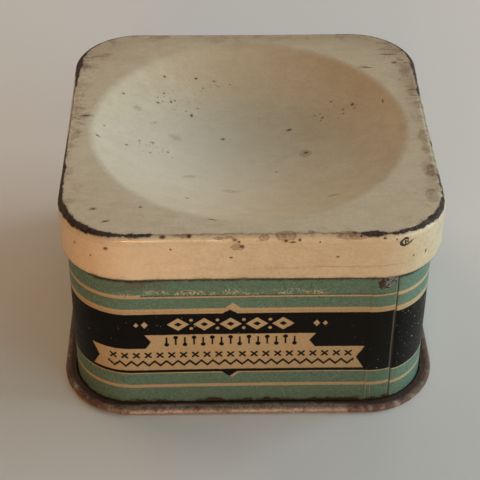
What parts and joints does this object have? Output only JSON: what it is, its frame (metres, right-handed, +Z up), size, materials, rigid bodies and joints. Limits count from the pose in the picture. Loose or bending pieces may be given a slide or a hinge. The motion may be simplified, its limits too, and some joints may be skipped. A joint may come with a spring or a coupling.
{
  "type": "pin tin",
  "caption": "Square tin with rounded corners for dressmaking pins, with a slip-on lid whose top is a round dish.",
  "frame": {"origin": "on the surface that the tin stands on, under the middle of the tin", "axes": "+Z up through the lid, the printed front faces -Y and +X is to its right"},
  "size_m": [0.0578, 0.0578, 0.034],
  "materials": {
    "printed_body": "teal green, black and cream print on tinplate, satin, scratched",
    "bare_tinplate": "bare tinplate, dull and rusty",
    "cream_lid": "cream enamel, satin, chipped along its edges"
  },
  "bodies": {
    "tin": {"body_wrap": "printed_body", "bottom_plate": "bare_tinplate"},
    "lid": {"lid": "cream_lid"}
  },
  "joints": [
    {"name": "lid_lift", "type": "slide", "parent": "tin", "child": "lid", "axis": [0, 0, 1], "range_m": [0, 0.03]}
  ]
}
